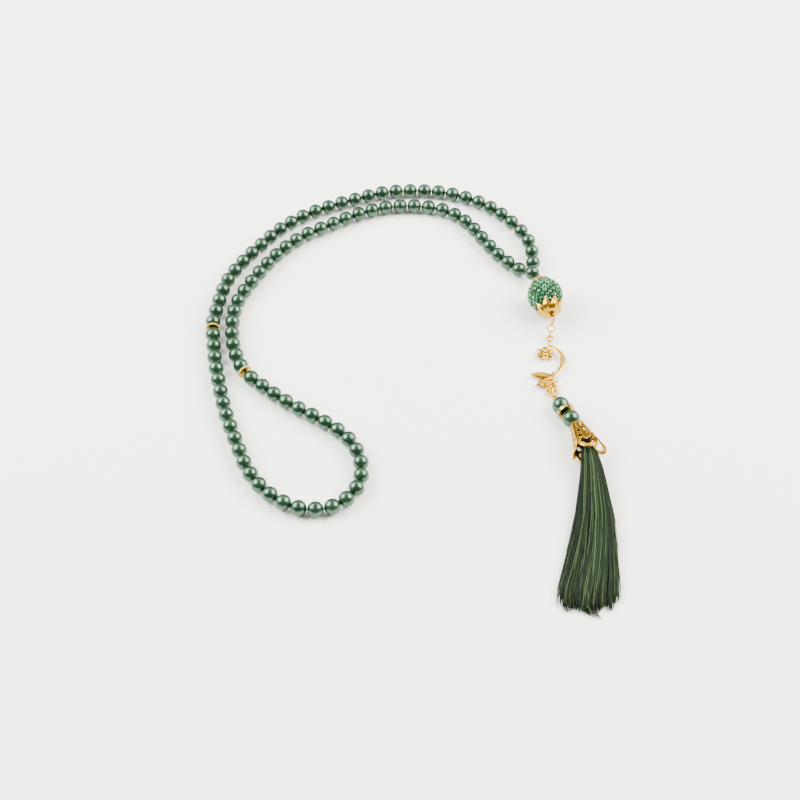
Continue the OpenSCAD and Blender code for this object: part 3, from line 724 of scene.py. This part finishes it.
def side_half(v):
    """Half the width of a side, which meets its neighbours up to a shoulder and ends in a round petal."""
    shoulder, widest, swell = 10.0, 14.4, 0.95
    if v <= shoulder:
        return SIDE_SHARE * cone_radius(v)
    if v <= widest:
        t = (v - shoulder) / (widest - shoulder)
        return SIDE_SHARE * cone_radius(shoulder) + swell * t * (2 - t)
    t = (v - widest) / (CONE_LENGTH - widest)
    return (SIDE_SHARE * cone_radius(shoulder) + swell) * max(0.0, 1 - t ** 2.4) ** 0.5


def side_holes():
    """The openings of one side: two slots, four round holes and a heart at the mouth, all turned one way."""
    slot = ((-1.7, 0), (-1, 0.6), (1, 0.6), (1.7, 0), (1, -0.6), (-1, -0.6))
    holes = []
    for side in (-1, 1):
        holes.append([(side * (1.15 + 0.04 * k) + w, 3.4 + k) for k, w in slot])
        for x, y, wide, tall in ((1.6, 8.0, 1.05, 1.15), (2.1, 12.0, 1.2, 1.3)):
            angles = [math.tau * k / 8 for k in range(8)]
            holes.append([(side * x + wide * math.cos(a), y + tall * math.sin(a)) for a in angles])
    heart = [(0, 15.8), (0.9, 14.8), (2.2, 14.5), (3.3, 15.4), (3.1, 17.2), (1.8, 18.7), (0, 19.3)]
    holes.append(heart + [(-x, y) for x, y in heart[-2:0:-1]])
    holes = [smooth_loop(h) for h in holes]
    turning = [sum(a.cross(b) for a, b in zip(h, h[1:] + h[:1])) for h in holes]
    return [h if t < 0 else h[::-1] for h, t in zip(holes, turning)]


def pierced_side(spread):
    """One cast side of the cone: a pierced sheet with a raised wire round its edge and round each hole."""
    steps = 40
    # The sheet starts short of the cone's narrow end, to leave room there for its edge wire
    start_v = 0.55
    vs = [start_v + (CONE_LENGTH - start_v) * (1 - (1 - i / steps) ** 1.6) for i in range(steps + 1)]
    outline = [Vector((side_half(v), v)) for v in vs] + [Vector((-side_half(v), v)) for v in vs[-2::-1]]
    holes = side_holes()
    loops = [outline] + holes
    flat = [p for loop in loops for p in loop]
    edges, start = [], 0
    for loop in loops:
        edges += [(start + i, start + (i + 1) % len(loop)) for i in range(len(loop))]
        start += len(loop)
    # Points inside the sheet, clear of every loop, let it curve
    pitch, clear = 0.7, 0.35
    on_loops = list(flat)
    for i in range(1, int(CONE_LENGTH / pitch)):
        for k in range(-7, 8):
            spot = Vector((k * pitch, i * pitch))
            inside = i * pitch > start_v and abs(spot.x) < side_half(i * pitch)
            if inside and min((spot - p).length for p in on_loops) > clear:
                flat.append(spot)
    within_outline, merged_within = 1, 1e-6
    spots, _, triangles, origins, _, _ = delaunay_2d_cdt(flat, edges, [], within_outline, merged_within)
    middles = [(spots[a] + spots[b] + spots[c]) / 3 for a, b, c in triangles]
    triangles = [t for t, m in zip(triangles, middles) if not any(surrounds(h, m) for h in holes)]
    used = sorted({k for t in triangles for k in t})
    place = {k: i for i, k in enumerate(used)}
    seat = {o: place[k] for k in used for o in origins[k]}
    n = len(used)
    half_sheet = 0.2
    points = [on_side(*spots[k], out, spread) * MM for out in (half_sheet, -half_sheet) for k in used]
    faces = [tuple(place[k] for k in t) for t in triangles]
    faces += [tuple(n + place[k] for k in reversed(t)) for t in triangles]
    faces += [(seat[b], seat[a], n + seat[a], n + seat[b]) for a, b in edges]
    parts = [(points, faces)]
    outward = Vector((1, 0, 0))
    for i, loop in enumerate(loops):
        rim = [on_side(*p, 0.15, spread) * MM for p in loop]
        parts.append(wire(rim, (HOLE_WIRE_R if i else EDGE_WIRE_R) * MM, 8, closed=True, level=outward))
    return parts


def filigree_cone():
    """Four sides round a collar: the ones facing down and up hug the tassel, and the others bend outwards."""
    parts = []
    for k in range(CONE_SIDES):
        turned = ALONG_CONE @ Matrix.Rotation(math.tau * k / CONE_SIDES, 4, "Z")
        parts += [placed(p, turned) for p in pierced_side(BENT_OUT if k % 2 else BENT_IN)]
    parts.append(placed(wire(circle(2.75, 0.5, 48), 0.32 * MM, 10, closed=True), ALONG_CONE))
    piece("filigree_cone_cast", parts, "cone", GOLD, ["filigree_cone"], smooth=45)


def gathered_head():
    """The tied top of the tassel: a full round head under its loop, then a waist for the binding."""
    profile = [(0.3, 4.4), (1.5, 4.5), (2.5, 5.6), (3.2, 7.2), (3.7, 8.8), (4.0, 10.2), (3.8, 11.5),
               (2.65, 12.3), (2.65, 15), (0.3, 15)]
    points, faces = lathe([(r * MM, z * MM) for r, z in profile], 96)
    # Every second line of points sits lower, which gives the head its ribs
    low = 0.96
    ribbed = [Vector(p) for p in points]
    ribbed = [Vector((p.x * low, p.y * low, p.z)) if i % 2 else p for i, p in enumerate(ribbed)]
    piece("tassel_head_silk", [placed((ribbed, faces), ALONG_CONE)], "tassel_top", TASSEL_SILK,
          ["tassel_head"], shades=[0.2])


filigree_cone()
gathered_head()


# ---- carried-over CAD nodes ----
CARRIED_OVER = ((BRIGHT_GOLD, ("spacer_1", "spacer_2", "rondelle")),
                (GOLD, ("top_cap", "head_pin", "pendant_pin", "link_1", "link_2", "link_3", "lower_ring")),
                (CLAY, ("ball_core",)),
                (CLEAR, ("rondelle_stones",)),
                (CORD_SILK, ("outer_cord", "inner_cord", "outer_arm_cord", "inner_arm_cord", "loop_cord",
                             "cord_tie")),
                (TASSEL_SILK, ("tassel_loop", "tassel_binding")))

for finish, names in CARRIED_OVER:
    for name in names:
        mesh = frame["nodes"][name].data
        mesh.materials.clear()
        mesh.materials.append(finish)


# ---- the tassel ----
TASSEL_THREADS = 900
THREAD_R = 0.17 * MM
# Steps along one thread, and places where the CAD tassel's width is read
THREAD_STEPS = 18
STATIONS = 26
CLUMPS = 34
# The core ends this far along the tassel
CORE_SHARE = 0.6
CORE_ROWS, CORE_SIDES = 16, 24


def tassel_section(y):
    """Middle, half width and half thickness of the CAD tassel where it crosses one y."""
    mesh = frame["nodes"]["tassel_skirt"].data
    cuts = []
    for edge in mesh.edges:
        a, b = (mesh.vertices[v].co for v in edge.vertices)
        if (a.y - y) * (b.y - y) < 0:
            cuts.append(a.lerp(b, (y - a.y) / (b.y - a.y)))
    low = Vector([min(c[i] for c in cuts) for i in range(3)])
    high = Vector([max(c[i] for c in cuts) for i in range(3)])
    return (low + high) / 2, (high.x - low.x) / 2, (high.z - low.z) / 2


def tassel_core(section):
    """The inside of the tassel, narrower than its threads and shorter, in the darkest silk colour as painted
    shade.
    """
    points = []
    for i in range(CORE_ROWS + 1):
        at, wide, thick = section(CORE_SHARE * i / CORE_ROWS)
        narrow = 0.62 * (1 - 0.85 * (i / CORE_ROWS) ** 3)
        for a in (math.tau * k / CORE_SIDES for k in range(CORE_SIDES)):
            z = at.z + 0.8 * narrow * thick * math.sin(a)
            points.append((at.x + narrow * wide * math.cos(a), at.y, max(0.15 * MM, z)))
    n = CORE_SIDES
    faces = [(i * n + k, i * n + (k + 1) % n, (i + 1) * n + (k + 1) % n, (i + 1) * n + k)
             for i in range(CORE_ROWS) for k in range(n)]
    faces += [tuple(range(n - 1, -1, -1)), tuple(CORE_ROWS * n + k for k in range(n))]
    return points, faces


def tassel():
    """Loose silk threads in clumps that fan out from the neck to ragged ends, over a core in painted shade."""
    low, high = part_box("tassel_skirt")
    reach = high.y - low.y
    top, length = high.y - 1.2 * MM, reach - 3.6 * MM
    cuts = [tassel_section(top - length * i / (STATIONS - 1)) for i in range(STATIONS)]

    def section(t):
        """Middle, half width and half thickness at t from 0 to 1 along the tassel."""
        i = min(STATIONS - 2, int(t * (STATIONS - 1)))
        u = t * (STATIONS - 1) - i
        a, b = cuts[i], cuts[i + 1]
        return a[0].lerp(b[0], u), a[1] + (b[1] - a[1]) * u, a[2] + (b[2] - a[2]) * u

    # Each clump's place across, the phase and size of its wave, and how much shorter it is
    gathers = [(2 * (k + luck.uniform(0.1, 0.9)) / CLUMPS - 1, luck.uniform(0, math.tau),
                luck.uniform(0.3, 1.0), luck.uniform(0.0, 0.05)) for k in range(CLUMPS)]
    parts, shades = [], []
    for _ in range(TASSEL_THREADS):
        turn, out = luck.uniform(0, math.tau), luck.random() ** 0.32
        across, over = out * math.cos(turn), out * math.sin(turn)
        middle, phase, sway, short = min(gathers, key=lambda g: abs(g[0] - across))
        pull = luck.uniform(0.2, 0.75)
        own_phase, own_sway = luck.uniform(0, math.tau), luck.uniform(0.1, 0.4) * MM
        stray = luck.random() < 0.1
        drift = luck.uniform(-1, 1) * (5.5 if stray else 1.5) * MM
        end = 1 - 0.09 * across ** 2 - short - 0.2 * luck.random() ** 2
        if stray:
            end -= 0.25 * luck.random()
        route = []
        for i in range(THREAD_STEPS + 1):
            t = end * i / THREAD_STEPS
            at, wide, thick = section(t)
            gathered = across + (middle - across) * pull * t ** 2
            wave = sway * 0.9 * MM * math.sin(phase + 5.5 * t) + own_sway * math.sin(own_phase + 11 * t)
            x = at.x + gathered * (wide - 0.2 * MM) + wave * t + drift * t ** 3
            z = at.z + over * (thick - 0.25 * MM) * (1 - 0.25 * t)
            route.append((x, top - length * t, max(z, THREAD_R * 1.1)))
        parts.append(wire(route, [THREAD_R] * THREAD_STEPS + [THREAD_R * 0.6], sides=5))
        shades.append(luck.random() ** 2.2)
    parts.append(tassel_core(section))
    # The core takes the darkest silk colour, painted shade for the tassel's inside
    shades.append(0.0)
    piece("tassel_threads", parts, "tassel_threads", TASSEL_SILK, ["tassel_skirt"],
          shades=shades)


tassel()
